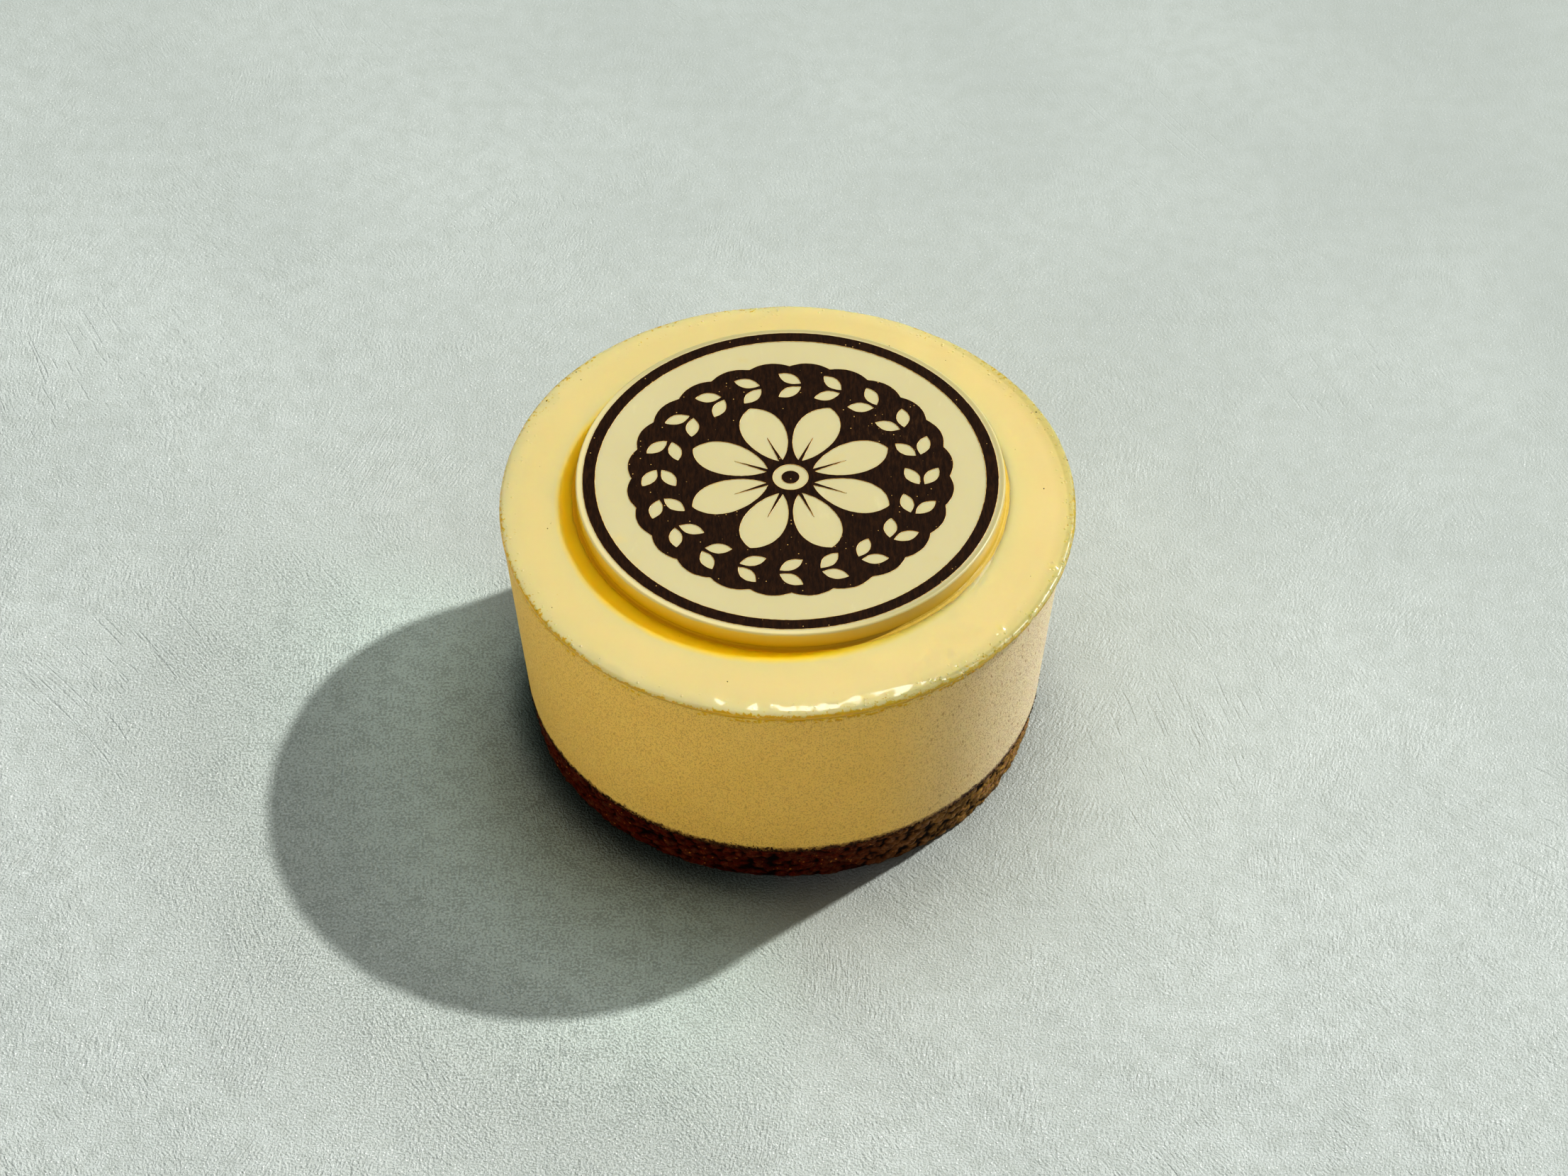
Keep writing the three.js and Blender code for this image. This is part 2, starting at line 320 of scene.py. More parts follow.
def bulge(place, middle, sharpness):
    """1 at an angle round the cake, in degrees from the front towards +X, and less and less to both sides."""
    x, y = math.sin(math.radians(middle)), -math.cos(math.radians(middle))
    nearness = place.sum("DOT_PRODUCT", outward(place), (x, y, 0.0)).out("Value")
    return place.sum("EXPONENT", (nearness - 1) * sharpness)


def crumb_base_line():
    """Up the side of the base, with how rough and how worn it is, and how much it follows the seam."""
    low, high = 0.3 * MM, CRUMB_HEIGHT - 0.35 * MM
    side = [low + (high - low) * i / (CRUMB_ROWS - 1) for i in range(CRUMB_ROWS)]
    points = [(0, 0), (wall(0) - 2 * FOOT_INSET, 0), (wall(0) - FOOT_INSET, 0.04 * MM)]
    points += [(wall(0) - 0.1 * MM, 0.13 * MM)] + [(wall(h), h) for h in side]
    brow = [(0.08, 0.2), (0.22, 0.11), (0.4, 0.06), (0.6, 0.03), (0.85, 0.02), (2.6, 0)]
    points += [(wall(high) - inside * MM, CRUMB_HEIGHT - below * MM) for inside, below in brow]
    points += [(0, CRUMB_HEIGHT)]
    moves = [0, 1, 1, 1] + [1] * CRUMB_ROWS + [1, 1, 1, 1, 1, 0, 0]
    rough = [0, 0, 0.3, 0.7] + [1.0] * CRUMB_ROWS + [0.95, 0.8, 0.6, 0.5, 0.3, 0, 0]
    worn = [0, 0, 0.4, 0.7] + [max(0.0, 1 - h / (1.3 * MM)) for h in side] + [0] * 7
    follow = [0, 0, 0, 0] + [h / CRUMB_HEIGHT for h in side] + [1, 1, 1, 1, 1, 0, 0]
    return outline(points, {"moves": moves, "rough": rough, "worn": worn, "follow": follow})


crumb_look, place = new_look("pressed_biscuit_crumbs", {"Specular IOR Level": 0.22})
relief = drawn_number(place, "relief")
flakes = grains(place * (1, 1, 1.5), 0.8 * MM)
flake, face = lottery(flakes), rising(lottery(flakes, "Y"), 0.7, 0.74)
fine = grains(place * (1, 1, 1.3), 0.24 * MM)
dust = clouds(place, 0.35 * MM, detail=4.0, roughness=0.7)
raised = rising(relief + 0.25 * (dust - 0.5), 0.45, 0.95)
# Painted light: the crumbs on the right, which faces the key light, are a lighter copy of the crumbs on the
# shaded side.
aside = along_axis(place, "X")
lit_side = rising(aside, 4 * MM, 33 * MM)
shade_side_crumbs = mixed(flake, paint(68, 15, 1), paint(100, 31, 4))
biscuit = mixed(lit_side, shade_side_crumbs, mixed(flake, paint(106, 78, 36), paint(174, 140, 74)))
# Painted shade and highlights: the gaps between flakes are painted nearly black, and the tops and faces of raised
# flakes are painted lighter, most of all on the lit side.
colour = mixed(rising(relief, 0.05, 0.5), paint(26, 6, 1), biscuit)
colour = mixed(raised * rising(dust, 0.4, 0.75) * (0.25 + 0.65 * lit_side), colour, paint(172, 132, 76))
colour = mixed(face * rising(relief, 0.35, 0.6) * (0.1 + 0.6 * lit_side), colour, paint(156, 114, 80))
golden = rising(lottery(fine, "Y"), 0.98, 0.985) * rising(relief, 0.45, 0.7)
colour = mixed(golden * 0.8, colour, paint(190, 128, 52))
height = dust * 0.6 + (1 - fine) * 0.4
dress(crumb_look, {
    "Base Color": colour,
    "Roughness": 0.66 - 0.34 * raised,
    "Normal": embossed(height, 0.12 * MM),
})

crumb_sizes = {
    "Sides": CRUMB_SIDES,
    "Lean At Foot": LEAN_AT_FOOT,
    "Seam Wave": SEAM_WAVE,
    "Flake Size": FLAKE_SIZE,
    "Grit Size": GRIT_SIZE,
    "Crumb Depth": CRUMB_DEPTH,
    "Spread": CRUMB_SPREAD,
    "Right Shrinkage": RIGHT_SHRINKAGE,
}
tree, given = new_tree("crumb_base_maker", crumb_sizes)
skin = turned(given, ("moves", "rough", "worn", "follow"))
place = position_of(skin)
bent = place + drift(place, 0.9 * MM) * 0.7 * MM
flakes = grains(bent * (1, 1, 1.45) / given["Flake Size"], 1)
grit = grains(bent * (1, 1, 1.2) / given["Grit Size"], 1)
lumps = clouds(place, 3.2 * MM, detail=3.0)
flake_top = (1 - flakes * flakes * 1.6) * (0.45 + 0.55 * lottery(flakes))
grit_top = (1 - grit * grit * 1.6) * (0.3 + 0.7 * lottery(grit))
relief = rising(flake_top * 0.5 + grit_top * 0.2 + lumps * 0.55, 0.2, 0.85)
skin = keep(skin, "relief", relief)
relief, place = number_of(skin, "relief"), position_of(skin)
ragged = clouds(place * (1, 1, 0.4), 1.5 * MM, detail=3.0)
crumbled = CRUMBLED_DEPTH * number_of(skin, "worn") * ragged * ragged
inward = given["Crumb Depth"] * (1 - relief) - given["Spread"] + crumbled
back = given["Right Shrinkage"] * bulge(place, 90, 3) * number_of(skin, "moves")
offset = outward(place) * (0 - back - inward * number_of(skin, "rough"))
lift = upward(seam_lift(place, given["Seam Wave"]) * number_of(skin, "follow"))
jitter = drift(place, 0.8 * MM) * (0, 0, 0.35 * MM) * number_of(skin, "rough")
skin = shift(skin, offset + lift + jitter)
finish_tree(skin, crumb_look)
grow("crumb_base_pressed", tree, crumb_sizes, crumb_base_line(), ["crumb_base"])

# ---- Filling ----
# Baked cream cheese, egg and cream, set in the mould on top of the base and turned out cold. Its side is
# smooth with fine pores, and just below the glaze the skin tore off in small chips when the mould came away.

FILLING_SIDES = 1100
FILLING_WAVE = 0.12 * MM
GLAZE_BOTTOM = 37 * MM
GROOVE_DEPTH = 0.1 * MM
CHIP_SIZE = 0.75 * MM
CHIP_DEPTH = 0.17 * MM
SAG = 0.3 * MM
RUN_SHARE = 0.5
TEAR_START = 34.6 * MM
SEAM_ROWS, SEAM_ROW_HEIGHT = 8, 0.22 * MM
SIDE_ROWS = 38
TEAR_ROWS, TEAR_ROW_HEIGHT = 17, 0.12 * MM
GLAZE_RUNS = [(180, 1, 0.3 * MM), (115, 7, 0.42 * MM), (228, 6, 0.9 * MM)]


def glaze_reach(place):
    """How far the glaze ran out past the mould's radius, most at a few places round the cake."""
    runs = [bulge(place, middle, sharpness) * reach for middle, sharpness, reach in GLAZE_RUNS]
    return runs[0] + runs[1] + runs[2]


def torn_badly(place):
    """1 at the stretches of the rim where the mould took more of the skin with it, and 0 between them."""
    return rising(clouds(outward(place) + (0, 0, 2.2), 0.7, detail=2.0), 0.42, 0.56)


def filling_line():
    """Up the side of the filling, with how much it follows the seam, how much it moves, and its height."""
    low = CRUMB_HEIGHT + SEAM_GAP * 0.2
    side = [low + SEAM_ROW_HEIGHT * i for i in range(SEAM_ROWS)]
    side += [side[-1] + (TEAR_START - side[-1]) * (i + 1) / SIDE_ROWS for i in range(SIDE_ROWS)]
    side += [TEAR_START + TEAR_ROW_HEIGHT * (i + 1) for i in range(TEAR_ROWS)]
    inner = wall(CRUMB_HEIGHT) - 2.6 * MM
    start = [(0, CRUMB_HEIGHT), (inner, CRUMB_HEIGHT), (wall(low) - 0.4 * MM, low - 0.02 * MM)]
    start += [(wall(low) - 0.1 * MM, low - 0.01 * MM)]
    end = [(wall(GLAZE_BOTTOM) - GROOVE_DEPTH * 0.8, 36.82 * MM)]
    end += [(wall(GLAZE_BOTTOM) - GROOVE_DEPTH, GLAZE_BOTTOM), (0, GLAZE_BOTTOM)]
    heights = [CRUMB_HEIGHT] * 4 + side + [36.9 * MM, GLAZE_BOTTOM, GLAZE_BOTTOM]
    follow = [max(0.0, 1 - (h - CRUMB_HEIGHT) / (9 * MM)) ** 2 for h in heights]
    follow[:2] = [0, 0]
    smooth = [0, 0, 1.0, 1.0] + [1.0] * len(side) + [1.0, 1.0, 0]
    return outline(
        start + [(wall(h), h) for h in side] + end,
        {"follow": follow, "rough": smooth, "drawn_height": heights},
    )


filling_look, place = new_look("baked_cream_cheese", {
    "Specular IOR Level": 0.5,
    "Subsurface Weight": 0.4,
    "Subsurface Radius": (1.0, 0.5, 0.12),
    "Subsurface Scale": 2.5 * MM,
})
height = drawn_number(place, "drawn_height")
torn = drawn_number(place, "torn")
aside = along_axis(place, "X")
# Painted light: the right side, which faces the key light, is painted a paler beige, and its streaks and pores
# show more there.
lit_side = rising(aside, 10 * MM, 37 * MM)
pores = grains(place * (1, 1, 0.8) + clouds(place, 1.2 * MM) * 0.3 * MM, 0.36 * MM)
holes = (1 - rising(pores, 0.1, 0.42)) * rising(lottery(pores), 0.35, 0.75)
grit = rising(clouds(place * (1, 1, 0.8), 0.2 * MM, detail=2.0, roughness=0.6), 0.5, 0.68)
slanted = {"Vector": place, "Rotation": (0.45, 0.0, 0.0), "Scale": (1.0, 1.0, 3.0)}
long_pores = grains(place.add("ShaderNodeMapping", {"vector_type": "TEXTURE"}, slanted), 0.75 * MM)
long_holes = (1 - rising(long_pores, 0.12, 0.3)) * rising(lottery(long_pores) + lit_side * 0.3, 0.93, 0.97)
pits = place.sum("MAXIMUM", place.sum("MAXIMUM", holes * 0.9, grit), long_holes)
mottle = clouds(place, 9 * MM, detail=3.0)
curd = clouds(place * (1, 1, 0.7), 0.9 * MM, detail=4.0, roughness=0.65)
colour = mixed(mottle, paint(240, 199, 106), paint(245, 207, 118))
colour = mixed(lit_side, colour, paint(234, 218, 184))
colour = mixed(rising(curd, 0.55, 0.8) * 0.3, colour, paint(226, 186, 92))
# Painted shade: the pores and pits are darkened for the shade inside them, more on the lit side.
colour = mixed(pits * (0.36 + 0.3 * lit_side), colour, paint(150, 96, 30))
dusted = rising(CRUMB_HEIGHT + 1.7 * MM - height, 0, 1.7 * MM) * clouds(place, 0.4 * MM, detail=3.0)
colour = mixed(rising(dusted, 0.1, 0.42) * 0.75, colour, paint(118, 72, 26))
stain_and_amber_reach = rising(clouds(place, 0.9 * MM, detail=3.0, roughness=0.65), 0.35, 0.7) * 1.3 * MM
stain_and_amber_reach = stain_and_amber_reach + rising(clouds(place, 3 * MM), 0.3, 0.7) * 0.6 * MM
stain = 1 - rising(height - stain_and_amber_reach, CRUMB_HEIGHT - 0.7 * MM, CRUMB_HEIGHT - 0.05 * MM)
colour = mixed(stain * 0.9, colour, paint(66, 30, 8))
# The chips torn under the glaze are painted ochre for the shade and glow in them.
colour = mixed(rising(torn, 0.25, 0.7) * 0.95, colour, paint(232, 188, 44))
lining = curd * 0.35 - pits * 0.5 + clouds(place * (1, 1, 0.3), 0.35 * MM, detail=2.0) * 0.12
dress(filling_look, {
    "Base Color": colour,
    "Roughness": 0.48 + 0.2 * curd,
    "Normal": embossed(lining, 0.1 * MM, 0.8),
})

filling_sizes = {
    "Sides": FILLING_SIDES,
    "Lean At Foot": LEAN_AT_FOOT,
    "Seam Wave": SEAM_WAVE,
    "Side Wave": FILLING_WAVE,
    "Chip Size": CHIP_SIZE,
    "Chip Depth": CHIP_DEPTH,
    "Sag": SAG,
    "Right Shrinkage": RIGHT_SHRINKAGE,
    "Run Share": RUN_SHARE,
}
tree, given = new_tree("filling_maker", filling_sizes)
skin = turned(given, ("follow", "rough", "drawn_height"))
place = position_of(skin)
height = number_of(skin, "drawn_height")
chips = grains(place * (1, 1, 1.25) / given["Chip Size"], 1)
bite = (1 - rising(chips, 0.3, 0.55))
reach = clouds(outward(place), 0.05, detail=3.0) * 1.1 * MM
badly = torn_badly(place)
near_lip = rising(height + reach, 36.3 * MM, 36.6 * MM)
second_row = rising(height, 35.9 * MM, 36.0 * MM) * (1 - rising(height, 36.45 * MM, 36.55 * MM))
second_row = second_row * badly * rising(lottery(chips, "Y"), 0.35, 0.4)
torn = place.sum("MAXIMUM", near_lip * rising(lottery(chips) + badly * 0.4, 0.7, 0.75), second_row) * bite
torn = place.sum("MAXIMUM", torn, rising(height + reach * 0.4, 36.83 * MM, 36.9 * MM) * badly)
skin = keep(skin, "torn", torn)
place, torn = position_of(skin), number_of(skin, "torn")
wave = (clouds(place, 16 * MM, detail=1.0) - 0.5) * 2 * given["Side Wave"]
ripple = (clouds(place * (1, 1, 0.5), 2.2 * MM, detail=2.0) - 0.5) * 0.05 * MM
climb = (number_of(skin, "drawn_height") - CRUMB_HEIGHT) / (GLAZE_BOTTOM - CRUMB_HEIGHT)
run = glaze_reach(place) * given["Run Share"] * climb * climb + given["Sag"] * (1 - climb)
back = given["Right Shrinkage"] * bulge(place, 90, 3)
out = (wave + ripple + run - back - torn * given["Chip Depth"]) * number_of(skin, "rough")
lift = upward(seam_lift(place, given["Seam Wave"]) * number_of(skin, "follow"))
skin = shift(skin, outward(place) * out + lift)
finish_tree(skin, filling_look)
filling = grow("filling_baked", tree, filling_sizes, filling_line(), ["filling"])

# ---- Glaze ----
# A thin clear yellow glaze, poured warm over the cold cake and smoothed off. It set with a rounded rim that
# runs a little uneven, and with fine wrinkles where it cooled first.

GLAZE_SIDES = 1000
GLAZE_RADIUS = 39.93 * MM
GLAZE_EDGE_RADIUS = 0.62 * MM
GLAZE_SHOULDER = 0.17 * MM
SHOULDER_WIDTH = 2.3 * MM
GLAZE_WAVE = 0.09 * MM
BEAD_HEIGHT = 0.45 * MM
PLAQUE_RADIUS = 30 * MM
PLAQUE_CENTRE = (0.45 * MM, 2.15 * MM, 0.0)


def from_axis(place):
    """How far a place lies from the axis, on the level."""
    return place.sum("LENGTH", place * (1, 1, 0)).out("Value")


def round_edge(radius, height, size, steps):
    """A quarter round, from radius out at a height to size further in and up."""
    quarter = [i / steps * math.pi / 2 for i in range(steps + 1)]
    return [(radius - size + size * math.cos(a), height + size * math.sin(a)) for a in quarter]


def glaze_line():
    """Round the rim of the glaze, with how much it moves there."""
    edge = round_edge(GLAZE_RADIUS, CAKE_HEIGHT - GLAZE_SHOULDER - GLAZE_EDGE_RADIUS, GLAZE_EDGE_RADIUS, 14)[:-1]
    start = [(0, GLAZE_BOTTOM), (GLAZE_RADIUS - 1.5 * MM, GLAZE_BOTTOM), (GLAZE_RADIUS - 0.25 * MM, GLAZE_BOTTOM)]
    start += [(GLAZE_RADIUS - 0.06 * MM, GLAZE_BOTTOM + 0.05 * MM)]
    shoulder = [i / 10 for i in range(1, 11)]
    end = [(edge[-1][0] - SHOULDER_WIDTH * s, CAKE_HEIGHT - GLAZE_SHOULDER * (1 - s) ** 2) for s in shoulder]
    end += [(r * MM, CAKE_HEIGHT) for r in (36.6, 36.1, 35.6, 35.1, 34.6, 34.0, 20, 0)]
    moves = [0, 0, 0.9, 1] + [1.0] * len(edge) + [1 - s * 0.4 for s in shoulder]
    moves += [0.5, 0.4, 0.3, 0.2, 0.1, 0, 0, 0]
    return outline(start + edge + end, {"moves": moves})


glaze_look, place = new_look("poured_glaze", {
    "Subsurface Weight": 1.0,
    "Subsurface Radius": (1.0, 0.45, 0.04),
    "Subsurface Scale": 8.0 * MM,
    "Coat Roughness": 0.06,
})
glaze_look.node_tree.nodes["Principled BSDF"].subsurface_method = "BURLEY"
distance = from_axis(place)
from_plaque = from_axis(place - PLAQUE_CENTRE) - PLAQUE_RADIUS
height = along_axis(place, "Z")
rim = rising(distance, 37.0 * MM, 39.2 * MM)
mottle = clouds(place, 14 * MM, detail=2.0)
colour = mixed(mottle, paint(216, 197, 140), paint(220, 201, 146))
# Painted light: the pale rim band has a darker copy on the side facing the key light, and its outermost edge is
# painted darker still there, as shade set against the sun on it.
lit = rising(bulge(place, 75, 1.0), 0.35, 0.8)
outermost = rising(distance, 38.9 * MM, 39.3 * MM)
colour = mixed(rim * 0.5, colour, mixed(lit, paint(226, 206, 152), paint(196, 178, 120)))
colour = mixed(lit * outermost * 0.8, colour, paint(182, 164, 110))
# Painted shadow: the plaque's shadow on the glaze is painted amber round its foot, widest on the side away from
# the key light, and paler on the lit side.
shadow_reach = 0.6 * MM + 2.7 * MM * bulge(place - PLAQUE_CENTRE, -50, 1.3) + clouds(place, 3 * MM) * 0.4 * MM
painted_plaque_shadow = 1 - rising(from_plaque, shadow_reach - 1.2 * MM, shadow_reach + 0.4 * MM)
plaque_shade_side = rising(bulge(place - PLAQUE_CENTRE, -55, 1.0), 0.25, 0.7)
colour = mixed(painted_plaque_shadow, colour, mixed(plaque_shade_side, paint(206, 182, 96), paint(255, 208, 8)))
# Painted shade: the foot of the glaze's edge is painted ochre for the shade and glow under the rim, with a darker
# copy on the side facing the key light.
ragged = clouds(place, 0.7 * MM, detail=3.0, roughness=0.65) * 1.4 * MM + (1 - torn_badly(place)) * 0.2 * MM
lip = 1 - rising(height + ragged, 38.25 * MM, 38.35 * MM)
colour = mixed(lip * 0.95, colour, mixed(lit, paint(208, 164, 36), paint(178, 148, 52)))
foot = 1 - rising(from_plaque, 0.3 * MM, 1.1 * MM)
bubbles = grains(place, 0.6 * MM)
bubbles = (1 - rising(bubbles, 0.05, 0.4)) * rising(lottery(bubbles), 0.85, 0.87)
wrinkles = clouds(place, 1.9 * MM, detail=2.0) * (0.15 + rim) + clouds(place, 6 * MM) * 0.5
sparkles = grains(place, 0.5 * MM)
sparkles = (1 - rising(sparkles, 0.05, 0.5)) * rising(lottery(sparkles), 0.8, 0.82)
sparkles = sparkles * rising(distance, 38.0 * MM, 38.8 * MM) * rising(along_axis(place, "X"), 12 * MM, 22 * MM)
wrinkles = wrinkles * 0.6 + bubbles * place.sum("MAXIMUM", rim, foot) * 1.1 + sparkles * 1.3
dress(glaze_look, {
    "Base Color": colour,
    "Roughness": 0.3 + 0.12 * clouds(place, 2.5 * MM),
    "Coat Weight": 1 - lit * outermost * (1 - rising(clouds(place, 1.1 * MM, detail=2.0), 0.56, 0.62)),
    "Normal": embossed(wrinkles, 0.1 * MM),
})

glaze_sizes = {"Sides": GLAZE_SIDES, "Lean At Foot": LEAN_AT_FOOT, "Rim Wave": GLAZE_WAVE}
tree, given = new_tree("glaze_maker", glaze_sizes)
skin = turned(given, ("moves",))
place = position_of(skin)
waves = (clouds(outward(place), 0.16, detail=2.0) - 0.5) * 1.6
bumps = (clouds(place, 1.6 * MM, detail=2.0) - 0.5) * 0.5
out = ((waves + bumps - 0.2) * given["Rim Wave"] + glaze_reach(place)) * number_of(skin, "moves")
sunk = rising(clouds(place, 7 * MM, detail=1.0), 0.35, 0.7) * 0.14 * MM + clouds(place, 2.5 * MM) * 0.05 * MM
beads = grains(place * (1, 1, 0) + clouds(place, 2 * MM).out("Color") * 1.2 * MM, 2.0 * MM)
beads = (1 - rising(beads, 0.0, 0.4)) * rising(lottery(beads), 0.45, 0.5)
beads = beads * rising(bulge(place, 55, 9), 0.3, 0.7)
sunk = sunk - beads * rising(from_axis(place), 36.8 * MM, 37.6 * MM) * BEAD_HEIGHT
down = upward(0 - sunk * number_of(skin, "moves"))
skin = shift(skin, outward(place) * out + down)
finish_tree(skin, glaze_look)
glaze = grow("glaze_poured", tree, glaze_sizes, glaze_line(), ["glaze"])

# ---- Loose crumbs on the side, and specks on the glaze ----
# Bits of the base that smeared up the wall of the mould and stuck to the filling just above the seam, and a
# few dark grains that fell on the glaze before it set.

CRUMB_BITS_PER_SQUARE_METRE = 3.0e7
SPECKS_PER_SQUARE_METRE = 9000.0
SMALLEST_BIT = 0.045 * MM
LARGEST_BIT = 0.24 * MM


def scattered(given, share, squash):
    """Rough little lumps over what was drawn, as dense as share says there."""
    drawn = given["Drawn"]
    inputs = {"Mesh": drawn, "Density": given["Density"] * share, "Seed": given["Seed"]}
    points = drawn.add("GeometryNodeDistributePointsOnFaces", {"distribute_method": "RANDOM"}, inputs)
    lump = drawn.add("GeometryNodeMeshIcoSphere", {}, {"Radius": 1.0, "Subdivisions": 1})
    lump = shift(lump, drift(position_of(lump), 0.9) * 1.1)

    def drawn_lot(kind, least, most, number):
        limits = {"Min": least, "Max": most, "Seed": given["Seed"] + number}
        return drawn.add("FunctionNodeRandomValue", {"data_type": kind}, limits)

    size = given["Smallest"] + (given["Largest"] - given["Smallest"]) * drawn_lot("FLOAT", 0.0, 1.0, 1) ** 2.5
    turn = drawn_lot("FLOAT_VECTOR", (0.0, 0.0, 0.0), (6.3, 6.3, 6.3), 2)
    stretch = drawn_lot("FLOAT_VECTOR", squash, (1.0, 1.0, 1.0), 3)
    inputs = {"Points": points, "Instance": lump, "Rotation": turn, "Scale": stretch * size}
    return drawn.add("GeometryNodeInstanceOnPoints", {}, inputs)


bit_look, place = new_look("loose_crumb", {"Specular IOR Level": 0.4})
grit = grains(place, 0.3 * MM)
colour = mixed(lottery(grit), paint(24, 12, 7), paint(84, 54, 32))
dress(bit_look, {
    "Base Color": colour,
    "Roughness": 0.55 + 0.3 * clouds(place, 0.2 * MM),
    "Normal": embossed(clouds(place, 0.1 * MM), 0.05 * MM),
})

bit_sizes = {
    "Density": CRUMB_BITS_PER_SQUARE_METRE,
    "Smallest": SMALLEST_BIT,
    "Largest": LARGEST_BIT,
    "Seed": 5,
}
tree, given = new_tree("side_crumb_maker", bit_sizes)
place = position_of(given["Drawn"])
above = number_of(given["Drawn"], "drawn_height") - CRUMB_HEIGHT
patchy = rising(clouds(outward(place), 0.12, detail=3.0), 0.4, 0.7)
share = (1 - rising(above, 0 * MM, 0.35 * MM + patchy * 0.9 * MM)) * rising(above, 0.005 * MM, 0.02 * MM)
finish_tree(scattered(given, share, (0.4, 0.4, 0.4)), bit_look)
grow("side_crumbs_stuck", tree, bit_sizes, filling.data.copy())

speck_sizes = {
    "Density": SPECKS_PER_SQUARE_METRE,
    "Smallest": 0.05 * MM,
    "Largest": 0.15 * MM,
    "Seed": 12,
}
tree, given = new_tree("glaze_speck_maker", speck_sizes)
place = position_of(given["Drawn"])
distance = from_axis(place)
height = along_axis(place, "Z")
near_rim = rising(distance, 38.6 * MM, 39 * MM)
share = rising(distance, 33 * MM, 33.2 * MM) * rising(height, 37.2 * MM, 37.3 * MM) * (1 + 3 * near_rim)
finish_tree(scattered(given, share, (0.5, 0.5, 0.5)), bit_look)
grow("glaze_specks_fallen", tree, speck_sizes, glaze.data.copy())

# ---- Plaque ----
# White chocolate, cast about 3 mm thick in a round mould and laid on the glaze while it was still soft. Its
# edge is eased, and the glaze wets its foot all the way round.

PLAQUE_THICKNESS = 2.875 * MM
PLAQUE_TOP = CAKE_HEIGHT + PLAQUE_THICKNESS
PLAQUE_EDGE_RADIUS = 0.35 * MM
PLAQUE_SIDES = 720
MENISCUS_REACH = 0.55 * MM
MENISCUS_HEIGHT = 0.32 * MM


def in_shade(place):
    """1 on the side of the plaque that is turned away from the key light, and 0 on the other."""
    return rising(bulge(place - PLAQUE_CENTRE, -55, 1.0), 0.3, 0.7)


def plaque_line():
    """Round the edge of the plaque, with how much it moves there."""
    foot = [(0, CAKE_HEIGHT), (29.6 * MM, CAKE_HEIGHT), (29.85 * MM, CAKE_HEIGHT)]
    low, high = CAKE_HEIGHT + 0.15 * MM, PLAQUE_TOP - PLAQUE_EDGE_RADIUS
    side = [(PLAQUE_RADIUS, low + (high - low) * i / 12) for i in range(12)]
    edge = round_edge(PLAQUE_RADIUS, high, PLAQUE_EDGE_RADIUS, 10)
    flat = [(29.6 * MM, PLAQUE_TOP), (29.4 * MM, PLAQUE_TOP), (0, PLAQUE_TOP)]
    moves = [0, 0, 0.5] + [1.0] * 12 + [1 - i / 10 for i in range(11)] + [0, 0, 0]
    return outline(foot + side + edge + flat, {"moves": moves})


plaque_look, place = new_look("cast_white_chocolate", {
    "Subsurface Weight": 0.5,
    "Subsurface Radius": (1.0, 0.7, 0.22),
    "Subsurface Scale": 1.6 * MM,
    "Specular IOR Level": 0.45,
    "Coat Roughness": 0.22,
    "Coat Weight": 0.15,
})
distance = from_axis(place - PLAQUE_CENTRE)
height = along_axis(place, "Z")
bloom = clouds(place, 11 * MM, detail=3.0)
colour = mixed(bloom, paint(202, 192, 151), paint(207, 198, 158))
marks = clouds(place * (1, 0.35, 1), 2.2 * MM, detail=4.0, roughness=0.6)
colour = mixed(rising(marks, 0.6, 0.8) * 0.3, colour, paint(222, 215, 174))
shaded = in_shade(place)
# Painted light: the eased edge round the top is a darker copy on the side facing the key light, where the sun
# falls on it.
margin = mixed(shaded, paint(184, 176, 134), paint(222, 208, 160))
colour = mixed(rising(distance, 29.0 * MM, 29.4 * MM), colour, margin)
# Painted shade and glow: the plaque's side is painted yellow, then amber down to its foot, deepest on the side
# away from the key light, for the shade there and the light the glaze throws back up.
stain_and_amber_reach = CAKE_HEIGHT + clouds(place, 4 * MM, detail=3.0) * 0.7 * MM
painted_side_glow = mixed(shaded, paint(204, 180, 104), paint(236, 204, 92))
colour = mixed(1 - rising(height, stain_and_amber_reach + 2.0 * MM, stain_and_amber_reach + 2.45 * MM), colour, painted_side_glow)
amber = mixed(shaded, paint(218, 184, 70), paint(240, 190, 6))
colour = mixed(1 - rising(height, stain_and_amber_reach - 0.2 * MM, stain_and_amber_reach + 2.2 * MM), colour, amber)
cast = clouds(place, 0.5 * MM, detail=3.0) * 0.15 + clouds(place, 5 * MM) * 0.6
dress(plaque_look, {
    "Base Color": colour,
    "Roughness": 0.34 + 0.2 * marks,
    "Normal": embossed(cast, 0.06 * MM, 0.5),
})

plaque_sizes = {"Sides": PLAQUE_SIDES, "Lean At Foot": 0.0, "Edge Wave": 0.06 * MM}
tree, given = new_tree("plaque_maker", plaque_sizes)
skin = turned(given, ("moves",))
place = position_of(skin)
waves = clouds(place, 5 * MM, detail=3.0) - 1
skin = shift(skin, outward(place) * waves * given["Edge Wave"] * number_of(skin, "moves") + PLAQUE_CENTRE)
finish_tree(skin, plaque_look)
grow("plaque_cast", tree, plaque_sizes, plaque_line(), ["plaque"])

wet_look, place = new_look("glaze_at_plaque_foot", {"Coat Roughness": 0.05})
shaded = in_shade(place)
colour = mixed(clouds(place, 3 * MM), paint(184, 156, 56), paint(198, 172, 74))
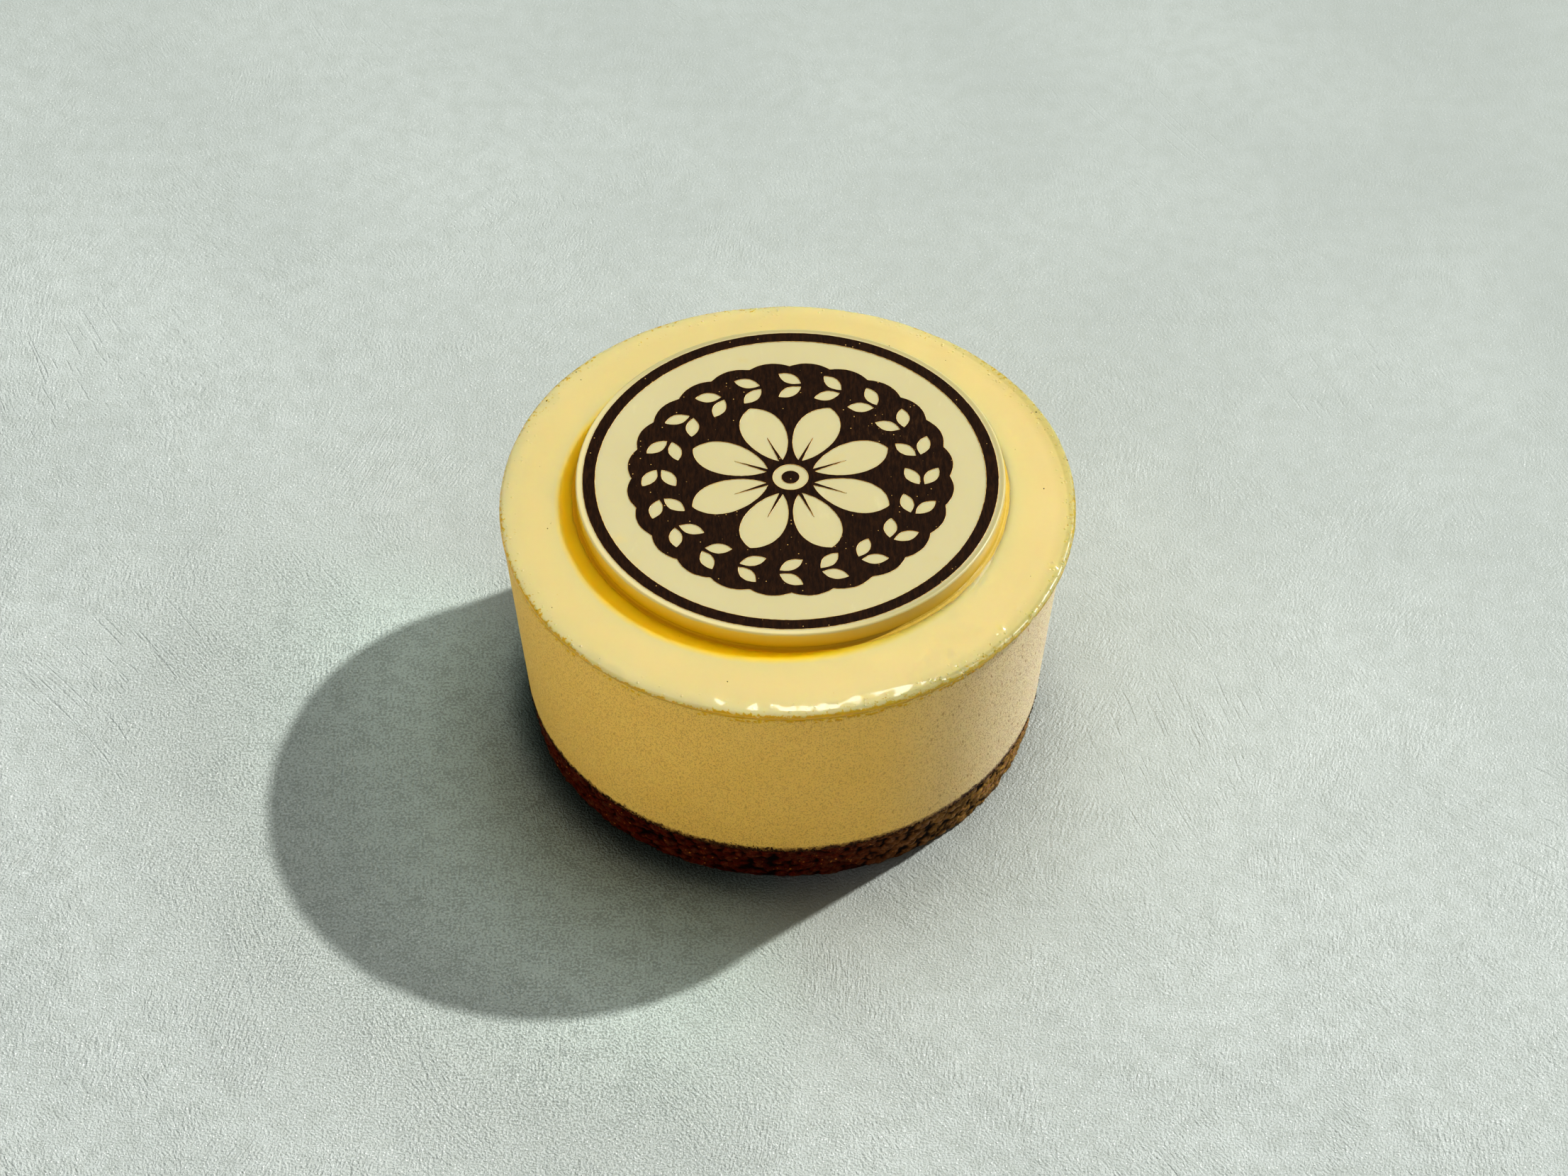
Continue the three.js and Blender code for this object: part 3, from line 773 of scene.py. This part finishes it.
# Painted shade: the wet foot is amber on the side away from the key light and paler on the lit side.
colour = mixed(shaded, colour, paint(248, 192, 16))
dress(wet_look, {
    "Base Color": colour,
    "Roughness": 0.5 + 0.1 * clouds(place, 1 * MM),
    "Coat Weight": rising(clouds(place, 2.2 * MM, detail=3.0) + shaded * 0.3, 0.52, 0.58),
    "Normal": embossed(clouds(place, 0.8 * MM), 0.12 * MM),
})

low = CAKE_HEIGHT - 0.06 * MM
hollow = [(0.0, 1.0), (0.06, 0.62), (0.16, 0.36), (0.32, 0.17), (0.55, 0.07), (0.8, 0.02), (1.0, 0.0)]
inside = PLAQUE_RADIUS - 0.3 * MM
bead = [(inside, low), (PLAQUE_RADIUS + MENISCUS_REACH, low)]
bead += [(PLAQUE_RADIUS + MENISCUS_REACH * x, CAKE_HEIGHT + MENISCUS_HEIGHT * z) for x, z in reversed(hollow)]
bead += [(inside, CAKE_HEIGHT + MENISCUS_HEIGHT), (inside, low)]
wet_sizes = {"Sides": 600, "Lean At Foot": 0.0, "Unevenness": 0.25 * MM}
tree, given = new_tree("wet_foot_maker", wet_sizes)
skin = turned(given)
place = position_of(skin)
reach = rising(from_axis(place), PLAQUE_RADIUS, PLAQUE_RADIUS + MENISCUS_REACH)
uneven = (clouds(outward(place), 0.12, detail=3.0) - 0.5) * 2 * given["Unevenness"] * reach
skin = shift(skin, outward(place) * uneven + PLAQUE_CENTRE)
finish_tree(skin, wet_look)
grow("wet_foot_of_plaque", tree, wet_sizes, outline(bead))

# ---- Print ----
# Coloured cocoa butter, printed on a sheet that the plaque was cast against, so it lies almost flush with the
# chocolate: a ring, and a scalloped medallion with a daisy and a wreath of leaves left pale in it.

PRINT_THICKNESS = 0.05 * MM
BORDER_OUTER_RADIUS = 28.97 * MM
BORDER_WIDTH = 1.71 * MM
MEDALLION_RADIUS = 22.85 * MM
SCALLOPS = 24
SCALLOP_DEPTH = 0.7 * MM
PETALS = 8
PETAL_START = 3.5 * MM
PETAL_END = 14.8 * MM
PETAL_HALF_WIDTH = 3.1 * MM
PETAL_NEAR, PETAL_FAR, PETAL_SWELL = 0.2, 0.82, 1.6
PETAL_RIB_LENGTH = 5 * MM
PETAL_RIB_WIDTH = 0.5 * MM
LEAF_PAIRS = 20
WREATH_RADIUS = 18.3 * MM
LEAF_LENGTH = 3.8 * MM
LEAF_HALF_WIDTH = 0.95 * MM
LEAF_SLANT = math.radians(32)
LEAF_OFFSET = 1.35 * MM
EYE_RADIUS = 2.5 * MM
EYE_DOT_RADIUS = 1.25 * MM
RAGGED_EDGE = 0.05 * MM
AMBER_LINE_RADIUS = 0.06 * MM
AMBER_LINE_SIDES = 5
PETAL_STEPS, RIB_STEPS, LEAF_STEPS, SCALLOP_STEPS = 40, 14, 16, 24
RUBBED_AND_SHEEN_PATCH = (15 * MM, 8.5 * MM, PLAQUE_TOP)


def polar(distance, angle):
    return distance * math.sin(angle), -distance * math.cos(angle)


def placing(origin, direction):
    """Turns and moves a motif that is drawn lengthways: along it and across it to x and y."""
    along_x, along_y = polar(1, direction)
    return lambda along, across: (
        origin[0] + along * along_x - across * along_y,
        origin[1] + along * along_y + across * along_x,
    )


def sweep(points, steps):
    """Points along one Bezier curve with these control points, without its last."""
    def at(share):
        row = [Vector(p) for p in points]
        while len(row) > 1:
            row = [a.lerp(b, share) for a, b in zip(row, row[1:])]
        return tuple(row[0])
    return [at(i / steps) for i in range(steps)]


def petal_outline():
    """Pointed at both ends, fullest past its middle, with a dark rib up from its foot."""
    at = placing((0, 0), 0)
    length = PETAL_END - PETAL_START
    near, far = PETAL_START + PETAL_NEAR * length, PETAL_START + PETAL_FAR * length
    half, swollen, rib = PETAL_HALF_WIDTH, PETAL_SWELL * PETAL_HALF_WIDTH, PETAL_RIB_WIDTH / 2
    there = [at(PETAL_START, rib), at(near, half), at(far, swollen), at(PETAL_END, 0)]
    back = [at(PETAL_END, 0), at(far, -swollen), at(near, -half), at(PETAL_START, -rib)]
    tip = at(PETAL_START + PETAL_RIB_LENGTH, 0)
    rib_sides = sweep([back[-1], tip], RIB_STEPS) + sweep([tip, there[0]], RIB_STEPS)
    return sweep(there, PETAL_STEPS) + sweep(back, PETAL_STEPS) + rib_sides


def leaf_outline(side):
    """A pointed oval that slants out or in from the middle line of the wreath."""
    at = placing(polar(WREATH_RADIUS + side * LEAF_OFFSET, 0), math.pi / 2 - side * LEAF_SLANT)
    half, wide = LEAF_LENGTH / 2, 2 * LEAF_HALF_WIDTH
    there, back = [at(-half, 0), at(0, wide), at(half, 0)], [at(half, 0), at(0, -wide), at(-half, 0)]
    return sweep(there, LEAF_STEPS) + sweep(back, LEAF_STEPS)


def scallop_outline():
    step = FULL_TURN / SCALLOPS
    valley = MEDALLION_RADIUS - SCALLOP_DEPTH
    crest = 2 * MEDALLION_RADIUS - valley * math.cos(step / 2)
    scallop = [polar(valley, 0), polar(crest, step / 2), polar(valley, step)]
    return sweep(scallop, SCALLOP_STEPS) + [polar(valley, step)]


def drawn_motifs(motifs):
    """Motifs as lines of one mesh. Each is (points, closed, number of times it is used round the plaque)."""
    mesh = bpy.data.meshes.new("motifs")
    points, edges, times = [], [], []
    for outline_points, closed, count in motifs:
        first, size = len(points), len(outline_points)
        points += [(x, y, 0) for x, y in outline_points]
        edges += [(first + i, first + (i + 1) % size) for i in range(size if closed else size - 1)]
        times += [count] * size
    mesh.from_pydata(points, edges, [])
    mesh.attributes.new("times", "FLOAT", "POINT").data.foreach_set("value", times)
    return mesh


def repeated(given, times, start):
    """The motifs marked with times, copied that many times about the middle."""
    drawn = given["Drawn"]
    chosen = drawn.sum("COMPARE", number_of(drawn, "times"), float(times), 0.1)
    inputs = {"Geometry": drawn, "Selection": chosen}
    motif = drawn.add("GeometryNodeSeparateGeometry", {"domain": "POINT"}, inputs)
    spots = drawn.add("GeometryNodePoints", {}, {"Count": times})
    turn = drawn.add("GeometryNodeInputIndex") * (FULL_TURN / times) + start
    turn = drawn.add("ShaderNodeCombineXYZ", {}, {"Z": turn})
    copies = drawn.add("GeometryNodeInstanceOnPoints", {}, {"Points": spots, "Instance": motif, "Rotation": turn})
    copies = drawn.add("GeometryNodeRealizeInstances", {}, {"Geometry": copies})
    copies = drawn.add("GeometryNodeMergeByDistance", {}, {"Geometry": copies, "Distance": WELD_DISTANCE})
    return drawn.add("GeometryNodeMeshToCurve", {}, {"Mesh": copies})


def circle(given, size):
    inputs = {"Radius": given[size], "Resolution": PLAQUE_SIDES}
    return given["Drawn"].add("GeometryNodeCurvePrimitiveCircle", {"mode": "RADIUS"}, inputs)


def joined(*geometries):
    return geometries[0].add("GeometryNodeJoinGeometry", {}, {"Geometry": list(geometries)})


def frayed(curves, given):
    """Lines that waver a little, as the edge of a print does."""
    inputs = {"Curve": curves, "Length": 0.16 * MM}
    curves = curves.add("GeometryNodeResampleCurve", {"mode": "LENGTH"}, inputs)
    place = position_of(curves)
    return shift(curves, drift(place, 0.55 * MM) * (1, 1, 0) * 2 * given["Ragged Edge"])


def on_plaque(geometry):
    return shift(geometry, (PLAQUE_CENTRE[0], PLAQUE_CENTRE[1], PLAQUE_TOP))


def printed(curves, given):
    """What the lines enclose, as a thin closed body."""
    flat = curves.add("GeometryNodeFillCurve", {}, {"Curve": curves})
    inputs = {"Mesh": flat, "Offset Scale": given["Thickness"], "Individual": False, "Offset": (0.0, 0.0, 1.0)}
    top = flat.add("GeometryNodeExtrudeMesh", {"mode": "FACES"}, inputs)
    under = flat.add("GeometryNodeFlipFaces", {}, {"Mesh": flat})
    return flat.add("GeometryNodeMergeByDistance", {}, {"Geometry": joined(top, under), "Distance": 1e-7})


print_look, place = new_look("cocoa_butter_print", {"Specular IOR Level": 0.25})
from_middle = place - PLAQUE_CENTRE
streaks = clouds(from_middle * (1, 0.22, 1), 0.45 * MM, detail=4.0, roughness=0.7)
specks = grains(place, 0.5 * MM)
# The lighter streaks and denser specks in a patch on the side toward the key light are partly wear and partly a
# painted sheen with glints.
corner = place.sum("LENGTH", from_middle - RUBBED_AND_SHEEN_PATCH).out("Value")
rubbed_and_sheen = 1 - rising(corner + clouds(place, 3 * MM, detail=3.0) * 6 * MM, 5 * MM, 12 * MM)
share = lottery(specks) + rubbed_and_sheen * 0.12
dots = (1 - rising(specks, 0.1, 0.24)) * rising(share, 0.93, 0.95)
colour = mixed(rising(streaks, 0.35, 0.75), paint(34, 16, 3), paint(60, 36, 14))
colour = mixed(rubbed_and_sheen * rising(streaks, 0.5, 0.8) * 0.5, colour, paint(92, 70, 44))
colour = mixed(dots, colour, paint(206, 172, 106))
dress(print_look, {
    "Base Color": colour,
    "Roughness": 0.5 + 0.25 * streaks,
    "Normal": embossed(streaks - dots * 0.5, 0.06 * MM, 0.5),
})

amber_look, place = new_look("amber_edge_of_print", {"Coat Weight": 0.3, "Coat Roughness": 0.2})
tone = clouds(place, 0.8 * MM, detail=3.0)
colour = mixed(rising(tone, 0.35, 0.65), paint(196, 152, 78), paint(232, 206, 142))
dress(amber_look, {"Base Color": colour, "Roughness": 0.35 + 0.2 * tone})

border_sizes = {
    "Outer Radius": BORDER_OUTER_RADIUS,
    "Inner Radius": BORDER_OUTER_RADIUS - BORDER_WIDTH,
    "Thickness": PRINT_THICKNESS,
    "Ragged Edge": RAGGED_EDGE,
}
medallion_sizes = {"Eye Radius": EYE_RADIUS, "Thickness": PRINT_THICKNESS, "Ragged Edge": RAGGED_EDGE}
eye_sizes = {"Dot Radius": EYE_DOT_RADIUS, "Thickness": PRINT_THICKNESS, "Ragged Edge": RAGGED_EDGE}


def border_lines(given):
    return frayed(joined(circle(given, "Outer Radius"), circle(given, "Inner Radius")), given)


def medallion_lines(given):
    motifs = [repeated(given, SCALLOPS, 0.0), repeated(given, PETALS, math.pi / PETALS)]
    motifs += [repeated(given, LEAF_PAIRS, 0.0), circle(given, "Eye Radius")]
    return frayed(joined(*motifs), given)


def eye_lines(given):
    return frayed(circle(given, "Dot Radius"), given)


def motifs_of_medallion():
    wreath = [(leaf_outline(side), True, LEAF_PAIRS) for side in (-1, 1)]
    return drawn_motifs([(scallop_outline(), False, SCALLOPS), (petal_outline(), True, PETALS), *wreath])


def empty_drawing():
    return bpy.data.meshes.new("nothing_drawn")


for name, sizes, lines, drawing in (
    ("print_border", border_sizes, border_lines, empty_drawing),
    ("print_medallion", medallion_sizes, medallion_lines, motifs_of_medallion),
    ("print_eye", eye_sizes, eye_lines, empty_drawing),
):
    tree, given = new_tree(name + "_maker", sizes)
    finish_tree(on_plaque(printed(lines(given), given)), print_look)
    grow(name + "_cast_in", tree, sizes, drawing(), [name])
    edge_sizes = {**sizes, "Line Radius": AMBER_LINE_RADIUS}
    tree, given = new_tree(name + "_edge_maker", edge_sizes)
    edges = lines(given)
    inputs = {"Radius": given["Line Radius"], "Resolution": AMBER_LINE_SIDES}
    section = edges.add("GeometryNodeCurvePrimitiveCircle", {"mode": "RADIUS"}, inputs)
    edges = edges.add("GeometryNodeResampleCurve", {"mode": "LENGTH"}, {"Curve": edges, "Length": 0.4 * MM})
    tube = edges.add("GeometryNodeCurveToMesh", {}, {"Curve": edges, "Profile Curve": section})
    finish_tree(on_plaque(tube.add("GeometryNodeSetShadeSmooth", {}, {"Geometry": tube})), amber_look)
    grow(name + "_amber_edge", tree, edge_sizes, drawing())

# ---- Floor, light and camera ----
# A pale grey-green surface with a faint grain, and a hard key light from behind on the right as in the
# photograph. A softbox overhead, a small window and two low cards fill in. The camera has the photograph's angle.

FLOOR_HALF = 3.0
KEY_DIRECTION = Vector((0.618, 0.392, 0.681))
CAMERA_TARGET = Vector((-0.58 * MM, 19.68 * MM, 0))
CAMERA_DISTANCE = 770.2 * MM
CAMERA_ELEVATION = math.radians(46.51)
CAMERA_ROLL = math.radians(-0.45)
CAMERA_LENS = 120.1


def stroked(place, direction, stretch):
    """Stretches the pattern that is drawn with this place along a direction on the floor."""
    inputs = {"Vector": place, "Rotation": (0.0, 0.0, direction), "Scale": (1.0, stretch, 1.0)}
    return place.add("ShaderNodeMapping", {"vector_type": "TEXTURE"}, inputs)


floor_look, place = new_look("painted_plaster_floor", {"Specular IOR Level": 0.5})
front_left = place.sum("DOT_PRODUCT", place, (-0.45, -0.9, 0.0)).out("Value")
nearness = rising(front_left, -160 * MM, 130 * MM)
broad = clouds(place, 45 * MM, detail=2.0)
blotches = clouds(place, 3 * MM, detail=3.0, roughness=0.65)
brushed = place + drift(place, 60 * MM, detail=0.0) * 30 * MM
one_way = clouds(stroked(brushed, -0.28, 4.0), 0.42 * MM)
other_way = clouds(stroked(brushed, 0.52, 4.0), 0.42 * MM)
where = rising(clouds(place, 26 * MM, detail=1.0), 0.42, 0.58)
strokes = (one_way * where + other_way * (1 - where)) * rising(clouds(place, 14 * MM, detail=1.0), 0.38, 0.6)
pimples = clouds(place, 0.36 * MM, detail=2.0, roughness=0.6)
scratches = rising(clouds(stroked(brushed, 0.52, 30.0), 0.7 * MM, detail=1.0), 0.62, 0.72)
scratches = scratches * rising(clouds(place, 40 * MM, detail=0.0), 0.55, 0.7)
# Painted light: the floor is painted lighter towards the front left.
far_colour = mixed(rising(broad, 0.3, 0.7), paint(181, 187, 183), paint(188, 194, 190))
near_colour = mixed(rising(broad, 0.3, 0.7), paint(198, 204, 201), paint(205, 211, 208))
colour = mixed(nearness, far_colour, near_colour)
colour = mixed(rising(blotches, 0.35, 0.7) * 0.4, colour, paint(174, 180, 174))
colour = mixed((1 - rising(pimples, 0.35, 0.6)) * (0.1 + 0.3 * nearness), colour, paint(164, 170, 164))
# Painted highlights: white glint dots, most at the front.
painted_glint_dots = grains(place, 0.5 * MM)
painted_glint_dots = (1 - rising(painted_glint_dots, 0.12, 0.34)) * rising(lottery(painted_glint_dots), 0.62, 0.72)
colour = mixed(painted_glint_dots * (0.1 + 0.6 * nearness), colour, paint(252, 255, 253))
distance = from_axis(place)
# Painted light near the cake: darker on the side the key light comes from, lighter inside the cake's cast shadow.
near_cake_painted_light = 1 - rising(distance, 40 * MM, 90 * MM)
towards_key = place.sum("DOT_PRODUCT", place, KEY_DIRECTION[:]).out("Value")
shadow_side = rising(bulge(place, -58, 1.0), 0.55, 0.8)
colour = mixed(near_cake_painted_light * (1 - shadow_side) * 0.4, colour, paint(162, 168, 164))
colour = mixed(near_cake_painted_light * shadow_side * 0.5, colour, paint(214, 236, 227))
# Painted shade in the grain's hollows inside the cast shadow.
shadow_grain_share = shadow_side * (1 - rising(distance, 75 * MM, 110 * MM))
painted_grain_shade = 1 - rising(pimples + (blotches - 0.5) * 0.5, 0.36, 0.6)
colour = mixed(painted_grain_shade * shadow_grain_share * 0.45, colour, paint(122, 130, 122))
# Painted contact shadow: a dark ring round the cake's foot on the shadow side.
painted_contact_shadow = (1 - rising(distance, 36 * MM, 42 * MM)) * (1 - rising(towards_key, -26 * MM, -8 * MM))
colour = mixed(painted_contact_shadow * 0.75, colour, paint(50, 80, 64))
grain = pimples + strokes * 0.9 - scratches * 0.3 + painted_glint_dots * 0.15
dress(floor_look, {
    "Base Color": colour,
    "Roughness": 0.3 + 0.25 * clouds(place, 1.5 * MM),
    "Normal": embossed(grain * (0.12 + 0.88 * nearness), 0.36 * MM),
})
floor_mesh = bpy.data.meshes.new("floor")
corners = [(-1, -1), (1, -1), (1, 1), (-1, 1)]
floor_mesh.from_pydata([(x * FLOOR_HALF, y * FLOOR_HALF, 0) for x, y in corners], [], [(0, 1, 2, 3)])
floor_mesh.materials.append(floor_look)
floor = bpy.data.objects.new("floor", floor_mesh)
bpy.context.scene.collection.objects.link(floor)

world = bpy.data.worlds.new("studio")
bpy.context.scene.world = world
world.use_nodes = True
world.node_tree.nodes["Background"].inputs["Color"].default_value = (0.95, 1.0, 0.99, 1)
world.node_tree.nodes["Background"].inputs["Strength"].default_value = 0.06


def light(name, kind, place, aim, **settings):
    lamp = bpy.data.lights.new(name, kind)
    for setting, value in settings.items():
        setattr(lamp, setting, value)
    lit = bpy.data.objects.new(name, lamp)
    lit.location = place
    lit.rotation_euler = (Vector(aim) - Vector(place)).to_track_quat("-Z", "Y").to_euler()
    bpy.context.scene.collection.objects.link(lit)
    return lit


def panel(name, place, aim, energy, size, **settings):
    """A flat light, as wide and as high as size."""
    settings.update(energy=energy, shape="RECTANGLE", size=size[0], size_y=size[1])
    return light(name, "AREA", place, aim, **settings)


light("key", "SUN", KEY_DIRECTION, (0, 0, 0), energy=2.42, angle=math.radians(1.9), color=(1.0, 0.985, 0.955))
softbox = panel("softbox", (0.1, 0.3, 1.2), (0, 0, 0), 5.3, (0.8, 0.7), color=(0.98, 1.0, 0.995))
softbox.visible_glossy = False
panel("window", (0.02, 0.37, 0.67), (0, 0, 0.03), 0.12, (0.07, 0.09))
front_card = panel("front_card", (-0.62, -0.58, 0.09), (0, 0, 0.03), 2.3, (0.8, 0.14))
front_card.visible_glossy = False
panel("right_card", (0.75, -0.1, 0.1), (0, 0, 0.02), 0.95, (0.5, 0.14))

camera = bpy.data.objects.new("camera", bpy.data.cameras.new("camera"))
camera.data.sensor_width = 36
camera.data.lens = CAMERA_LENS
camera.data.clip_start, camera.data.clip_end = 0.01, 20
back = Vector((0, -math.cos(CAMERA_ELEVATION), math.sin(CAMERA_ELEVATION)))
level, up = Vector((1, 0, 0)), Vector((0, math.sin(CAMERA_ELEVATION), math.cos(CAMERA_ELEVATION)))
right = level * math.cos(CAMERA_ROLL) + up * math.sin(CAMERA_ROLL)
above = -level * math.sin(CAMERA_ROLL) + up * math.cos(CAMERA_ROLL)
turn = Matrix((right, above, back)).transposed().to_4x4()
camera.matrix_world = Matrix.Translation(CAMERA_TARGET + back * CAMERA_DISTANCE) @ turn
bpy.context.scene.collection.objects.link(camera)
bpy.context.scene.camera = camera
bpy.context.scene.view_settings.view_transform = "Standard"
bpy.context.scene.view_settings.look = "High Contrast"
